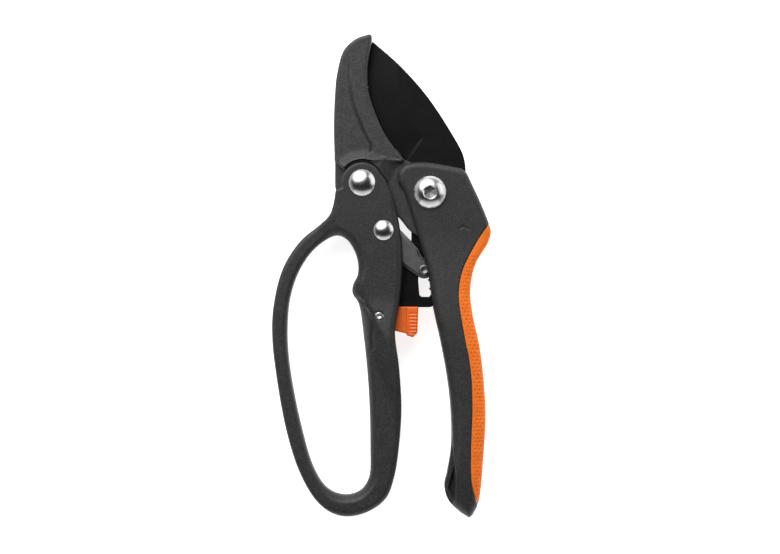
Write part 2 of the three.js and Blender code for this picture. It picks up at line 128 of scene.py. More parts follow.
GRIP_INNER = [(25.4, -14), (20.7, -20.7), (14, -34.1), (12.3, -44.5), (14.2, -59), (17.4, -76.4), (18.2, -92),
              (17.6, -113), (18, -126.2), (20.3, -134.5), (22.5, -139)]
LEFT_OUTER = [(-41.3, -2.2), (-41.9, -5.2), (-43.6, -9.8), (-47.4, -13.6), (-56.3, -21.1), (-63.8, -32.7),
              (-68.05, -49.6), (-68.55, -63), (-66.7, -80), (-62.2, -104.2), (-56.7, -121.4), (-49.9, -133.3),
              (-43.2, -139), (-36.2, -140.9), (-26.8, -138.8), (-19, -132.9), (-15.5, -124), (-13.3, -110),
              (-12.3, -94), (-13.3, -76), (-15.1, -60.5), (-13.2, -48), (-11.9, -31.9), (-13, -15.5),
              (-15.8, -2.9), (-19.6, 6.3)]
LOOP_HOLE = [(-40.7, -18.6), (-35.8, -20.7), (-31.6, -28.5), (-31.3, -35.5), (-33.2, -39.6), (-33.8, -42.1),
             (-33.3, -44.6), (-31.1, -47.8), (-28.6, -64), (-26.6, -86), (-25.9, -110), (-26.6, -124.4),
             (-30.5, -129.8), (-37.2, -131.5), (-44.6, -128.7), (-50.4, -120.2), (-56.4, -100), (-61, -76),
             (-62.1, -60.8), (-60.7, -44.8), (-56.3, -32.7), (-49.6, -23.8)]
CHANNEL = [(-44, 16), (-44, -3), (-40.5, -6.5), (-35.5, -10.5), (-29.5, -14), (-27.6, -22), (-27.6, -32),
           (-28.6, -41), (-27, -49), (-26.2, -57), (-24, -63), (-16, -66.5), (-4, -66.5), (-4, 16)]


# Curves and outlines

def arc(centre, r, start, end, steps=24):
    angles = np.radians(np.linspace(start, end, steps + 1))
    return [(centre[0] + r * math.cos(a), centre[1] + r * math.sin(a)) for a in angles]


def smooth(points, closed=False, step=0.8):
    """A centripetal Catmull-Rom curve through the points, sampled every step or so."""
    knots = [np.array(p, float) for p in points]
    if closed:
        knots = [knots[-1], *knots, knots[0], knots[1]]
    else:
        knots = [2 * knots[0] - knots[1], *knots, 2 * knots[-1] - knots[-2]]
    found = []
    for a, b, c, d in zip(knots, knots[1:], knots[2:], knots[3:]):
        ta, tb, tc = (max(np.linalg.norm(q - p), 1e-6) ** 0.5 for p, q in ((a, b), (b, c), (c, d)))
        out = ((b - a) / ta - (c - a) / (ta + tb) + (c - b) / tb) * tb
        into = ((c - b) / tb - (d - b) / (tb + tc) + (d - c) / tc) * tb
        count = max(2, math.ceil(np.linalg.norm(c - b) / step))
        for t in np.arange(count) / count:
            found.append((2 * t**3 - 3 * t**2 + 1) * b + (t**3 - 2 * t**2 + t) * out
                         + (3 * t**2 - 2 * t**3) * c + (t**3 - t**2) * into)
    if not closed:
        found.append(knots[-2])
    return [tuple(p) for p in found]


def shifted(points, dx, dy=0.0):
    return [(x + dx, y + dy) for x, y in points]


# Distance fields

class Grid:
    """Sample points around a solid. x and y are 2-D arrays, and z runs along a third axis through 0."""

    def __init__(self, points, half, step, margin=1.5, z_centre=0.0):
        points = np.array(points)
        low, high = points.min(0) - margin, points.max(0) + margin
        self.step = step
        self.xs = np.arange(low[0], high[0] + step, step)
        self.ys = np.arange(low[1], high[1] + step, step)
        levels = math.ceil((half + 2 * step) / step)
        self.zs = z_centre + np.arange(-levels, levels + 1) * step
        self.x, self.y = np.meshgrid(self.xs, self.ys, indexing="ij")
        self.z = self.zs.reshape(1, 1, -1)
        self.depth = np.abs(self.z)


def polygon(g, points):
    """Signed distance in the plane to a closed outline, negative inside."""
    points = np.array(points, float)
    nearest = np.full(g.x.shape, 1e9)
    inside = np.zeros(g.x.shape, bool)
    for (x0, y0), (x1, y1) in zip(points, np.roll(points, -1, 0)):
        dx, dy = x1 - x0, y1 - y0
        length = dx * dx + dy * dy
        if length < 1e-12:
            continue
        along = np.clip(((g.x - x0) * dx + (g.y - y0) * dy) / length, 0, 1)
        nearest = np.minimum(nearest, (g.x - x0 - along * dx) ** 2 + (g.y - y0 - along * dy) ** 2)
        if dy:
            inside ^= ((y0 > g.y) != (y1 > g.y)) & (g.x < dx * (g.y - y0) / dy + x0)
    return np.where(inside, -1, 1) * np.sqrt(nearest)


def run(g, points):
    """Distance in the plane to an open run of points."""
    nearest = np.full(g.x.shape, 1e9)
    for (x0, y0), (x1, y1) in zip(points, points[1:]):
        dx, dy = x1 - x0, y1 - y0
        along = np.clip(((g.x - x0) * dx + (g.y - y0) * dy) / (dx * dx + dy * dy), 0, 1)
        nearest = np.minimum(nearest, (g.x - x0 - along * dx) ** 2 + (g.y - y0 - along * dy) ** 2)
    return np.sqrt(nearest)


def disc(g, centre, r):
    """Signed distance in the plane to a circle."""
    return np.hypot(g.x - centre[0], g.y - centre[1]) - r


def deep(field):
    """A field in the plane as one over the whole grid."""
    return np.asarray(field)[:, :, None]


def plate(g, outline, half, rounding, centre=0.0):
    """A plate with rounded edges. half and rounding are numbers or fields in the plane."""
    half, rounding = (deep(np.broadcast_to(v, g.x.shape)) for v in (half, rounding))
    side = deep(outline) + rounding
    face = np.abs(g.z - centre) - half + rounding
    outside = np.hypot(np.maximum(side, 0), np.maximum(face, 0))
    return outside + np.minimum(np.maximum(side, face), 0) - rounding


def prism(g, outline, half=None):
    """A straight slab about the mid-plane, or one with no top and bottom where half is None."""
    if half is None:
        return deep(outline) + 0 * g.z
    return np.maximum(deep(outline), g.depth - half)


def join(a, b, fillet=0.0):
    """Both solids together, with a fillet in the corner between them."""
    if not fillet:
        return np.minimum(a, b)
    return np.minimum(a, b) - np.maximum(fillet - np.abs(a - b), 0) ** 2 / (4 * fillet)


def cut(a, *tools, edge=0.25):
    """The solid less each tool, with its new edges eased."""
    for tool in tools:
        a = -join(-a, tool, edge)
    return a


def meet(a, b, fillet=0.0):
    """Where both solids are."""
    return -join(-a, -b, fillet)


def ease(low, high, value):
    """0 below low, 1 above high, and a smooth rise between them."""
    t = np.clip((value - low) / (high - low), 0, 1)
    return t * t * (3 - 2 * t)


def ridge(distance, width):
    """1 on a line and falling softly to 0 on both sides of it."""
    return np.exp(-(distance / width) ** 2)


# Meshes

def sample(field, at):
    """The field between its grid points, at positions in grid steps."""
    base = np.clip(np.floor(at).astype(int), 0, np.array(field.shape) - 2)
    part = at - base
    total = np.zeros(len(at))
    for corner in np.ndindex(2, 2, 2):
        weight = np.prod(np.where(corner, part, 1 - part), axis=1)
        total += weight * field[tuple((base + corner).T)]
    return total


def skin(name, g, field, settle=2):
    """The mesh of a field's zero surface: one point for each cell that it crosses, drawn onto the surface."""
    inside = field < 0
    cells = tuple(n - 1 for n in field.shape)
    filled = np.zeros(cells, np.int8)
    for corner in np.ndindex(2, 2, 2):
        filled += inside[tuple(slice(c, c + n) for c, n in zip(corner, cells))]
    crossed = (filled > 0) & (filled < 8)
    index = np.argwhere(crossed)
    place, hits = np.zeros((len(index), 3)), np.zeros(len(index))
    for axis in range(3):
        others = [k for k in range(3) if k != axis]
        for pair in np.ndindex(2, 2):
            start = np.zeros(3, int)
            start[others] = pair
            a = field[tuple((index + start).T)]
            b = field[tuple((index + start + np.eye(3, dtype=int)[axis]).T)]
            hit = (a < 0) != (b < 0)
            t = np.where(hit, a / np.where(hit, a - b, 1), 0)
            spot = np.tile(start.astype(float), (len(index), 1))
            spot[:, axis] = t
            place[hit] += spot[hit]
            hits[hit] += 1
    place = index + place / hits[:, None]
    for _ in range(settle):
        value = sample(field, place)
        halves = np.eye(3) / 2
        slope = np.stack([sample(field, place + e) - sample(field, place - e) for e in halves], 1)
        move = -slope * (value / np.maximum((slope**2).sum(1), 1e-9))[:, None]
        size = np.maximum(np.linalg.norm(move, axis=1, keepdims=True), 1e-9)
        place = place + move * np.minimum(1, 0.4 / size)
    number = np.full(cells, -1)
    number[crossed] = np.arange(len(index))
    quads = []
    for axis in range(3):
        b, c = [(1, 2), (2, 0), (0, 1)][axis]
        near = tuple(slice(1, -1) if k != axis else slice(0, -1) for k in range(3))
        far = tuple(slice(1, -1) if k != axis else slice(1, None) for k in range(3))
        edges = np.argwhere(inside[near] != inside[far]) + [0 if k == axis else 1 for k in range(3)]
        step_b, step_c = np.eye(3, dtype=int)[b], np.eye(3, dtype=int)[c]
        ring = [edges, edges - step_b, edges - step_b - step_c, edges - step_c]
        quad = np.stack([number[tuple(r.T)] for r in ring], 1)
        flip = ~inside[tuple(edges.T)]
        quad[flip] = quad[flip][:, ::-1]
        quads.append(quad)
    origin = np.array([g.xs[0], g.ys[0], g.zs[0] + MID_HEIGHT])
    return mesh_piece(name, (origin + place * g.step) * MM, np.concatenate(quads))


def mesh_piece(name, points, faces, sharp=None):
    mesh = bpy.data.meshes.new(name)
    mesh.from_pydata([tuple(p) for p in points], [], [tuple(int(i) for i in f) for f in faces])
    mesh.validate()
    mesh.shade_smooth()
    if sharp:
        mesh.set_sharp_from_angle(angle=math.radians(sharp))
    piece = bpy.data.objects.new(name, mesh)
    bpy.context.scene.collection.objects.link(piece)
    return piece


def place_piece(piece, body, slot, material, *nodes):
    """Rides the piece on its body, in place of its CAD nodes, with its material."""
    piece.data.materials.clear()
    piece.data.materials.append(material)
    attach(piece, body)
    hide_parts(*nodes)


def turned(name, centre, profile, sides=96, sharp=35):
    """A solid of revolution about a pivot. A profile point is (radius, height), or (radius, height, 1) for a
    ring that is a hexagon of that half width across its flats."""
    angles = np.arange(sides) * 2 * math.pi / sides
    hexagon = 1 / np.cos((angles + math.pi / 6) % (math.pi / 3) - math.pi / 6)
    points, faces = [], []
    for r, z, *six in profile:
        reach = r * (hexagon if six else np.ones(sides))
        for q, a in zip(reach, angles):
            points.append((centre[0] + q * math.cos(a), centre[1] + q * math.sin(a), z))
    for i in range(len(profile) - 1):
        for k in range(sides):
            n = (k + 1) % sides
            faces.append((i * sides + k, i * sides + n, (i + 1) * sides + n, (i + 1) * sides + k))
    faces.append(tuple(range(sides))[::-1])
    faces.append(tuple(range((len(profile) - 1) * sides, len(profile) * sides)))
    points = (np.array(points) + [0, 0, MID_HEIGHT]) * MM
    return mesh_piece(name, points, faces, sharp)


# Materials

class Nodes:
    """Builds one procedural material."""

    def __init__(self, name):
        self.material = bpy.data.materials.new(name)
        self.material.use_nodes = True
        self.tree = self.material.node_tree
        self.shader = self.tree.nodes["Principled BSDF"]
        self.place = self.tree.nodes.new("ShaderNodeTexCoord").outputs["Object"]

    def set(self, **values):
        for name, value in values.items():
            self.shader.inputs[name.replace("_", " ")].default_value = value

    def noise(self, scale, detail=3.0, roughness=0.55, stretch=None):
        source = self.place
        if stretch:
            mapping = self.tree.nodes.new("ShaderNodeMapping")
            mapping.inputs["Scale"].default_value = stretch
            self.tree.links.new(source, mapping.inputs["Vector"])
            source = mapping.outputs["Vector"]
        node = self.tree.nodes.new("ShaderNodeTexNoise")
        node.inputs["Scale"].default_value = scale
        node.inputs["Detail"].default_value = detail
        node.inputs["Roughness"].default_value = roughness
        self.tree.links.new(source, node.inputs["Vector"])
        return node.outputs["Fac"]

    def ramp(self, source, low, high, start=0.3, end=0.7):
        """Maps a texture onto a run of colours or grey values."""
        node = self.tree.nodes.new("ShaderNodeValToRGB")
        colours = [v if isinstance(v, tuple) else (v, v, v) for v in (low, high)]
        for element, position, colour in zip(node.color_ramp.elements, (start, end), colours):
            element.position = position
            element.color = (*colour, 1)
        self.tree.links.new(source, node.inputs["Fac"])
        return node.outputs["Color"]

    def blended(self, a, b, amount=0.5, mode="MIX"):
        node = self.tree.nodes.new("ShaderNodeMix")
        node.data_type = "RGBA"
        node.blend_type = mode
        node.inputs["Factor"].default_value = amount
        self.tree.links.new(a, node.inputs[6])
        self.tree.links.new(b, node.inputs[7])
        return node.outputs[2]

    def feed(self, source, name):
        self.tree.links.new(source, self.shader.inputs[name])

    def bumps(self, *layers):
        """Adds (texture, strength, height in millimetres) layers of relief."""
        normal = None
        for source, strength, height in layers:
            node = self.tree.nodes.new("ShaderNodeBump")
            node.inputs["Strength"].default_value = strength
            node.inputs["Distance"].default_value = height * MM
            self.tree.links.new(source, node.inputs["Height"])
            if normal:
                self.tree.links.new(normal, node.inputs["Normal"])
            normal = node.outputs["Normal"]
        self.feed(normal, "Normal")


def powder_coat(name, dark, light):
    """Sandy charcoal powder coat on a casting."""
    m = Nodes(name)
    m.set(Metallic=0.0, Specular_IOR_Level=0.45)
    speckle = m.ramp(m.noise(2600, 4), dark, light, 0.34, 0.7)
    mottle = m.ramp(m.noise(180, 5, 0.6), 0.86, 1.1, 0.35, 0.68)
    grain = m.ramp(m.noise(1100, 2), 0.74, 1.22, 0.36, 0.64)
    shade = m.blended(mottle, grain, 1.0, "MULTIPLY")
    m.feed(m.blended(speckle, shade, 1.0, "MULTIPLY"), "Base Color")
    m.feed(m.ramp(m.noise(900, 3), 0.42, 0.58), "Roughness")
    m.bumps((m.noise(1500, 3, 0.6), 0.55, 0.09), (m.noise(420, 2), 0.22, 0.12))
    return m.material


def blade_coat():
    """Thin black non-stick coat over ground steel, with faint grinding lines."""
    m = Nodes("blade_coat")
    m.set(Metallic=0.0, Specular_IOR_Level=0.16)
    m.feed(m.ramp(m.noise(300, 4), (0.002, 0.002, 0.002), (0.0045, 0.0045, 0.0045)), "Base Color")
    lines = m.noise(260, 3, 0.6, (0.18, 3.2, 1.0))
    m.feed(m.ramp(lines, 0.4, 0.5), "Roughness")
    m.bumps((lines, 0.12, 0.03), (m.noise(2400, 3), 0.18, 0.03))
    return m.material


def bare_metal(name, colour, low, high, stretch, strength):
    """Metal with fine lines along one direction."""
    m = Nodes(name)
    m.set(Metallic=1.0)
    lines = m.noise(700, 3, 0.6, stretch)
    m.feed(m.ramp(lines, tuple(c * 0.86 for c in colour), colour), "Base Color")
    m.feed(m.ramp(m.noise(500, 3), low, high), "Roughness")
    m.bumps((lines, strength, 0.02))
    return m.material


def soft_rubber():
    """Orange thermoplastic rubber."""
    m = Nodes("grip_rubber")
    m.set(Specular_IOR_Level=0.22, Sheen_Weight=0.06, Sheen_Roughness=0.5)
    m.feed(m.ramp(m.noise(240, 4), (0.8, 0.158, 0.01), (0.9, 0.192, 0.015)), "Base Color")
    m.feed(m.ramp(m.noise(1200, 3), 0.56, 0.72), "Roughness")
    m.bumps((m.noise(3000, 3), 0.25, 0.04))
    return m.material


def moulded_plastic(name, low, high, roughness):
    m = Nodes(name)
    m.set(Specular_IOR_Level=0.5)
    m.feed(m.ramp(m.noise(200, 3), low, high), "Base Color")
    m.feed(m.ramp(m.noise(900, 3), roughness - 0.05, roughness + 0.07), "Roughness")
    m.bumps((m.noise(2600, 3), 0.12, 0.03))
    return m.material


HANDLE_COAT = powder_coat("handle_coat", (0.010, 0.010, 0.0102), (0.041, 0.041, 0.0415))
JAW_COAT = powder_coat("jaw_coat", (0.023, 0.023, 0.0232), (0.048, 0.048, 0.0485))
BLADE_COAT = blade_coat()
SATIN_STEEL = bare_metal("satin_steel", (0.22, 0.22, 0.225), 0.34, 0.46, (1, 6, 1), 0.12)
CHROME = bare_metal("chrome", (0.66, 0.66, 0.67), 0.22, 0.27, (1, 1, 1), 0.003)
ANVIL_METAL = bare_metal("anvil_metal", (0.5, 0.5, 0.49), 0.35, 0.5, (6, 1, 1), 0.15)
GRIP_RUBBER = soft_rubber()
LATCH_PLASTIC = moulded_plastic("latch_plastic", (0.78, 0.125, 0.008), (0.85, 0.15, 0.012), 0.38)
NYLON = moulded_plastic("nylon", (0.62, 0.6, 0.54), (0.7, 0.68, 0.62), 0.5)


# The blade with its ground edge, tang and notched slot

SLOT_NOTCHES = [(-1.9, -36.2), (-1.5, -40.1), (-1.4, -43.6)]
NOTCH_R = 2


def slot_outline():
    """The ratchet pin's slot: round at the pin, with notches down its right side."""
    notches = [point for centre in SLOT_NOTCHES for point in arc(centre, NOTCH_R, 62, -62, 12)]
    return [*arc(NOTCH, 2.2, 160, 20, 16), *notches, *arc((-3.2, -44), 1.3, 270, 180, 8), (-5, -38)]


def cutting_edge():
    return shifted(smooth(ANVIL_FACE), EDGE_SHIFT)


def blade_outline():
    edge = cutting_edge()[::-1]
    return [*edge, *smooth(BLADE_BACK), *smooth(TANG_RIGHT), *arc((-0.6, -46), 3.9, -25, -90, 12),
            *arc((-15.4, -47.9), 2, 270, 200, 8), *smooth(TANG_LEFT)[1:-1]]


GRIND_END = [(-2.3, 24.9), (-10.0, 14.8)]   # the line where the ground face stops
GRIND = {"edge_half": 0.16, "slope": 0.093, "bevel": 0.4, "bevel_slope": 0.4, "step": 0.4}
BLADE_ROUNDING = 0.3


def ground_half(g):
    """Half the blade's thickness, ground down towards its edge above the line GRIND_END."""
    edge = run(g, cutting_edge())
    (x0, y0), (x1, y1) = GRIND_END
    length = math.hypot(x1 - x0, y1 - y0)
    above = ((g.x - x0) * (y1 - y0) - (g.y - y0) * (x1 - x0)) / length
    bevel = GRIND["bevel_slope"] * np.clip(edge, 0, GRIND["bevel"])
    grind = GRIND["edge_half"] + GRIND["slope"] * np.maximum(edge - GRIND["bevel"], 0) + bevel
    return BLADE_HALF - ease(-GRIND["step"], GRIND["step"], above) * np.maximum(BLADE_HALF - grind, 0)


def make_blade(step=0.25):
    outline = blade_outline()
    g = Grid(outline, BLADE_HALF, step)
    half = ground_half(g)
    field = plate(g, polygon(g, outline), half, np.minimum(BLADE_ROUNDING, half * 0.8))
    field = cut(field, prism(g, polygon(g, slot_outline())), prism(g, polygon(g, LOCK_NOTCH)),
                prism(g, disc(g, MAIN, MAIN_BORE)), edge=0.15)
    place_piece(skin("blade_body", g, field), "blade_side", "blade_coat", BLADE_COAT, "blade")


# The anvil jaw: a thick arm over a forked hub, with a low shoulder between the two handles

PAD_POCKET = {"low": 16.8, "high": 61.5, "back": 2.7, "front": 4}
PAD_POCKET_HALF = 3.3
EDGE_ROOM = {"low": 13, "high": 68, "back": 0, "front": 4}
EDGE_ROOM_HALF = 2.2
ARM_ROUNDING = 1.3
HUB_ROUNDING = 0.5
NEAR_HEAD = {"reach": 6, "thicker": 0.8, "sharper": 0.85}
BEAD = {"inset": 0.9, "width": 0.4, "height": 0.3}
GROOVE = {"depth": 0.95, "fade": 0.9, "width": 0.38}
SHOULDER = {"above_arm": 0.3, "rounding": 0.4, "low_at": 17.2, "high_at": 25}


def jaw_outline():
    lip = [(-25.7, 63.3), *shifted(ANVIL_FACE[1:-1], LIP), ANVIL_FACE[-1]]
    return [*smooth(JAW_BACK), *arc((-26.4, 67.4), 1.3, 106, -15, 10)[1:], *smooth(lip),
            (-12.2, 12.9), (-22, 13.2), *arc(JAW_RIVET, HEAD_R + SEAT_GAP, 72, 146)]


def shoulder_outline():
    return [(-11.6, 14.2), *arc(MAIN, SHOULDER_END_R, 129, 178, 20), (-24, 0), (-31, 11), (-31, 14),
            (-24, 16)]


def hub_outline():
    return [(-41.2, 16), (-30, 24), (-14, 18.5), (-11.4, 14.5), *arc(MAIN, HUB_R, 110, -98, 60),
            *arc((-4.5, -15), 3.8, -50, -130, 12),
            *smooth([(-9.5, -15.6), (-14.1, -10.2), (-20, -7.6), (-28, -7.4)]),
            *arc(JAW_RIVET, HUB_CORNER_R, 262, 186)]


def strip(low, high, back, front):
    """An outline along the jaw's face, from back behind it to front before it."""
    face = [p for p in smooth(ANVIL_FACE) if low < p[1] < high]
    return [*shifted(face, front), *shifted(face, -back, -back / 2)[::-1]]


def jaw_arm(g):
    """The arm, with its long groove. It is thicker and sharper where it borders the left handle's head."""
    side = polygon(g, jaw_outline())
    near_head = 1 - ease(0, NEAR_HEAD["reach"], disc(g, JAW_RIVET, HEAD_R + SEAT_GAP))
    lower_edge = (1 - ease(16, 18, g.y)) * ease(-40, -38.5, g.x)
    bead = BEAD["height"] * ridge(side + BEAD["inset"], BEAD["width"]) * lower_edge
    depth = GROOVE["depth"] - GROOVE["fade"] * ease(28, 61, g.y)
    groove = depth * ridge(run(g, smooth(JAW_GROOVE)), GROOVE["width"])
    half = JAW_HALF + NEAR_HEAD["thicker"] * near_head + bead - groove
    return plate(g, side, half, ARM_ROUNDING - NEAR_HEAD["sharper"] * near_head)


def jaw_shoulder(g):
    """The flat that fills the corner between the left handle and the right handle's swing."""
    beside = np.maximum(polygon(g, shoulder_outline()), SEAT_GAP - polygon(g, left_outline()))
    rise = JAW_HALF + SHOULDER["above_arm"] - HUB_HALF
    rise = rise * ease(SHOULDER["low_at"], SHOULDER["high_at"], disc(g, MAIN, 0))
    return plate(g, beside, HUB_HALF + rise, SHOULDER["rounding"])


def jaw_cuts(g):
    """The fork and its heel, the cutting pad's pocket, room for the blade's edge, and the two bores."""
    fork = [*arc(MAIN, SWING_R, 134, 330, 60), (20, 20), (-9, 15.2)]
    heel = [(-18, 20), (-16, 15.6), (-10, 10), (-6, 14), (-12, 24)]
    return [prism(g, polygon(g, fork), HUB_IN), prism(g, polygon(g, heel), HUB_IN),
            prism(g, polygon(g, strip(**PAD_POCKET)), PAD_POCKET_HALF),
            prism(g, polygon(g, strip(**EDGE_ROOM)), EDGE_ROOM_HALF),
            prism(g, disc(g, MAIN, MAIN_BORE)), prism(g, disc(g, JAW_RIVET, RIVET_BORE))]


def make_jaw(step=0.36):
    g = Grid(jaw_outline() + hub_outline(), JAW_HALF, step)
    hub = plate(g, polygon(g, hub_outline()), HUB_HALF, HUB_ROUNDING)
    field = cut(join(join(jaw_arm(g), hub, 0.8), jaw_shoulder(g)), *jaw_cuts(g))
    place_piece(skin("jaw_body", g, field), "jaw_side", "jaw_coat", JAW_COAT, "anvil_jaw")


# The right handle and its soft grip share one outer shape, split along the grip's edge

END_TAPER = 1.5
RIGHT_ROUNDING = {"top": 2.4, "more": 2.0}
RUN_OUT = [(-12, -12), (4, -18), (3.2, -30), (3.4, -47), (5, -58), (2, -62), (-9, -50)]
BELOW_TANG = [(-16, -40), (3, -40), (3, -58), (-16, -58)]
END_STEP = [(9.4, -100), (10, -111.2), (11.2, -121.8), (11.1, -132.5), (9, -137), (0, -137), (0, -100)]
END_HOLLOW = [(10.5, -119.5), (8.1, -128.3), (10.6, -133.2)]
END_STEP_HALF = 4.5
END_HOLLOW_HALF = 1.8
HANDLE_MARK = [(12.9, -15.8), (14.5, -14.7), (16.6, -16.2)]
MARK = {"half_width": 0.22, "deep": 0.35}
TANG_GAP = 0.35
WASHER_SEAT = {"radius": 8.3, "below": 7.05}


def right_outline():
    return [*smooth(RIGHT_TOP), *smooth(RIGHT_OUTER)[1:], *smooth(RIGHT_INNER)[::-1][:-1]]


def right_whole(g):
    """Handle and grip as one solid, thicker and rounder down the grip and thinner at its end."""
    swell = ease(16, 66, -g.y)
    thicker = RIGHT_GRIP_HALF - CHEEK_HALF - INSIDE
    half = CHEEK_HALF + thicker * swell - END_TAPER * ease(118, 140, -g.y)
    return plate(g, polygon(g, right_outline()), half, RIGHT_ROUNDING["top"] + RIGHT_ROUNDING["more"] * swell)


def beyond(g, outline, half):
    """What lies inside an outline and more than half from the mid-plane."""
    return np.maximum(deep(outline), half - g.depth)


def right_cuts(g):
    """The grip's seat, a pocket for hub and tang, the stepped end, the mark, and the bore with its washer."""
    seat = polygon(g, [*smooth(GRIP_INNER), (40, -139), (40, -13.6)])
    swing = polygon(g, [*arc(MAIN, SWING_R, 110, 294, 60), (6, -6)])
    pocket = np.minimum(np.minimum(swing, disc(g, MAIN, HUB_R + 0.4)), polygon(g, RUN_OUT))
    tang = np.minimum(polygon(g, blade_outline()) - TANG_GAP, polygon(g, BELOW_TANG))
    washer = np.maximum(deep(disc(g, MAIN, WASHER_SEAT["radius"])), g.z + WASHER_SEAT["below"])
    mark = run(g, HANDLE_MARK) - MARK["half_width"]
    return [prism(g, seat), prism(g, pocket, CHEEK_IN), prism(g, tang, HUB_IN),
            beyond(g, polygon(g, END_STEP), END_STEP_HALF),
            beyond(g, polygon(g, END_HOLLOW), END_HOLLOW_HALF),
            beyond(g, mark, CHEEK_HALF - MARK["deep"]),
            prism(g, disc(g, MAIN, BOLT_BORE)), washer]


def make_right_handle(step=0.4):
    g = Grid(right_outline(), RIGHT_GRIP_HALF, step)
    field = cut(right_whole(g), *right_cuts(g), edge=0.3)
    place_piece(skin("right_handle_body", g, field), "blade_side", "handle_coat", HANDLE_COAT, "right_handle")


GRIP_SEAM = 0.08
DIMPLE = {"pitch": 1.6, "radius": 0.52, "sunk": 0.55}


def make_grip(step=0.24):
    area = [*smooth(GRIP_INNER), (40, -139), (40, -14)]
    g = Grid([p for p in right_outline() if p[0] > 11.5 and p[1] < -12], RIGHT_GRIP_HALF, step)
    field = dimpled(g, meet(right_whole(g), prism(g, polygon(g, area) + GRIP_SEAM), 0.3))
    place_piece(skin("grip_body", g, field), "blade_side", "grip_rubber", GRIP_RUBBER, "grip_insert")


def from_centre(cell, pitch):
    """Distance from the middle of a repeating cell, along one direction."""
    return (cell - np.floor(cell) - 0.5) * pitch


def dimpled(g, field):
    """Sinks rows of small round dimples into the grip's faces and its outer side."""
    across = np.gradient(field, g.step)[0]
    edge = deep(polygon(g, right_outline()))
    pitch = DIMPLE["pitch"]
    row = g.y[:, :, None] / pitch + 0 * field
    girth = np.where(across < 0.75, edge, g.depth - RIGHT_GRIP_HALF) / pitch + 0.5 * (np.floor(row) % 2)
    off_centre = np.hypot(from_centre(row, pitch), from_centre(girth, pitch))
    sunk = DIMPLE["sunk"] * ease(-DIMPLE["radius"], 0, -off_centre)
    inner = deep(run(g, smooth(GRIP_INNER)))
    area = ease(0.8, 1.3, inner) * deep(ease(-134, -131, g.y) * ease(24, 30, -g.y))
    return field + sunk * area


# The left handle: forked top, open channel, full grip and closed finger loop

def left_outline():
    return [*arc(JAW_RIVET, HEAD_R, 24, 192, 60), (-40.9, 0.9), *smooth(LEFT_OUTER)[:-1]]


GRIP_CREASE = [(-31.1, -46), (-27.5, -49.4), (-25, -53.2), (-24.4, -56), (-25, -61.3), (-24.8, -68)]
CREASE = {"deep": 0.8, "width": 0.7}
LOOP_BEVEL = {"body": 3.4, "strand": 1.6, "slope": 0.62, "blend": 0.35}
LEFT_ROUNDING = {"strand": 1.7, "body": 0.9, "head": 1.6}


def left_half(g, hole):
    """Half the left handle's thickness: flat cheeks, a full grip, and a loop that slopes to its hole."""
    full = CHEEK_HALF + (LEFT_GRIP_HALF - CHEEK_HALF - INSIDE) * ease(44, 66, -g.y)
    full = full - (LEFT_GRIP_HALF - LOOP_HALF) * ease(104, 132, -g.y)
    # The full grip lies right of a slanting line, and the loop's strand left of it
    body_side = ease(-50, -38.5, g.x + 0.42 * (g.y + 14)) * (1 - ease(130, 136, -g.y))
    half = LOOP_HALF + (full - LOOP_HALF) * body_side
    width = LOOP_BEVEL["body"] + (LOOP_BEVEL["strand"] - LOOP_BEVEL["body"]) * ease(40, 52, -g.x)
    slope = LOOP_BEVEL["slope"] * (0.55 + 0.45 * ease(40, 60, -g.y))
    into = np.maximum(width - hole, 0)
    half = half - slope * into**2 / (into + LOOP_BEVEL["blend"])
    return half - CREASE["deep"] * ridge(run(g, smooth(GRIP_CREASE)), CREASE["width"])


def make_left_handle(step=0.4):
    outline = left_outline()
    g = Grid(outline, LEFT_GRIP_HALF, step)
    hole = polygon(g, smooth(LOOP_HOLE, closed=True))
    ring = np.maximum(polygon(g, outline), -hole)
    rounding = LEFT_ROUNDING["strand"] + LEFT_ROUNDING["body"] * ease(-46, -38, g.x)
    rounding = rounding - LEFT_ROUNDING["head"] * (1 - ease(1, 14, disc(g, JAW_RIVET, HEAD_R)))
    field = plate(g, ring, left_half(g, hole), rounding)
    field = cut(field, prism(g, polygon(g, CHANNEL), CHEEK_IN), prism(g, disc(g, JAW_RIVET, RIVET_BORE)),
                prism(g, disc(g, LINK_RIVET, RIVET_BORE)), edge=0.35)
    field = cut(field, prism(g, disc(g, LATCH_PIVOT, LATCH_PIN_BORE)), edge=0.1)
    place_piece(skin("left_handle_body", g, field), "loop_side", "handle_coat", HANDLE_COAT, "left_handle")


# Fasteners

AXIS = 0.02            # a profile starts and ends this close to its axis
SHANK_R = 2.5
CLOSED_END_R = 3.8     # a rivet's closed end behind
RIVET_RIM = 0.3
BOLT = {"shank": 4, "head": 7, "top": 4.3, "cap": 3.3, "socket": 2.5, "socket_rim": 3.15}


def dome(r, base, height, inner=AXIS, steps=18):
    """The profile of a ball's cap, from its rim in to the radius inner."""
    ball = (r * r + height * height) / (2 * height)
    tilts = np.linspace(math.asin(r / ball), math.asin(inner / ball), steps)
    return [(ball * math.sin(a), base + height - ball * (1 - math.cos(a))) for a in tilts]


def make_rivet(name, body, centre, head_r, head_height):
    """A rivet with a domed head in front and a closed end behind."""
    seat = CHEEK_HALF + INSIDE
    end = -CHEEK_HALF - 0.9
    closed = [(AXIS, end - 1.2), (2.9, end - 1.2), (3.6, end - 0.9), (CLOSED_END_R, end - 0.5),
              (CLOSED_END_R, end)]
    head = [(head_r - 0.1, seat), *dome(head_r, CHEEK_HALF + RIVET_RIM, head_height - RIVET_RIM)]
    profile = [*closed, (SHANK_R, end), (SHANK_R, seat), *head]
    place_piece(turned(f"{name}_body", centre, profile), body, "chrome", CHROME, name)


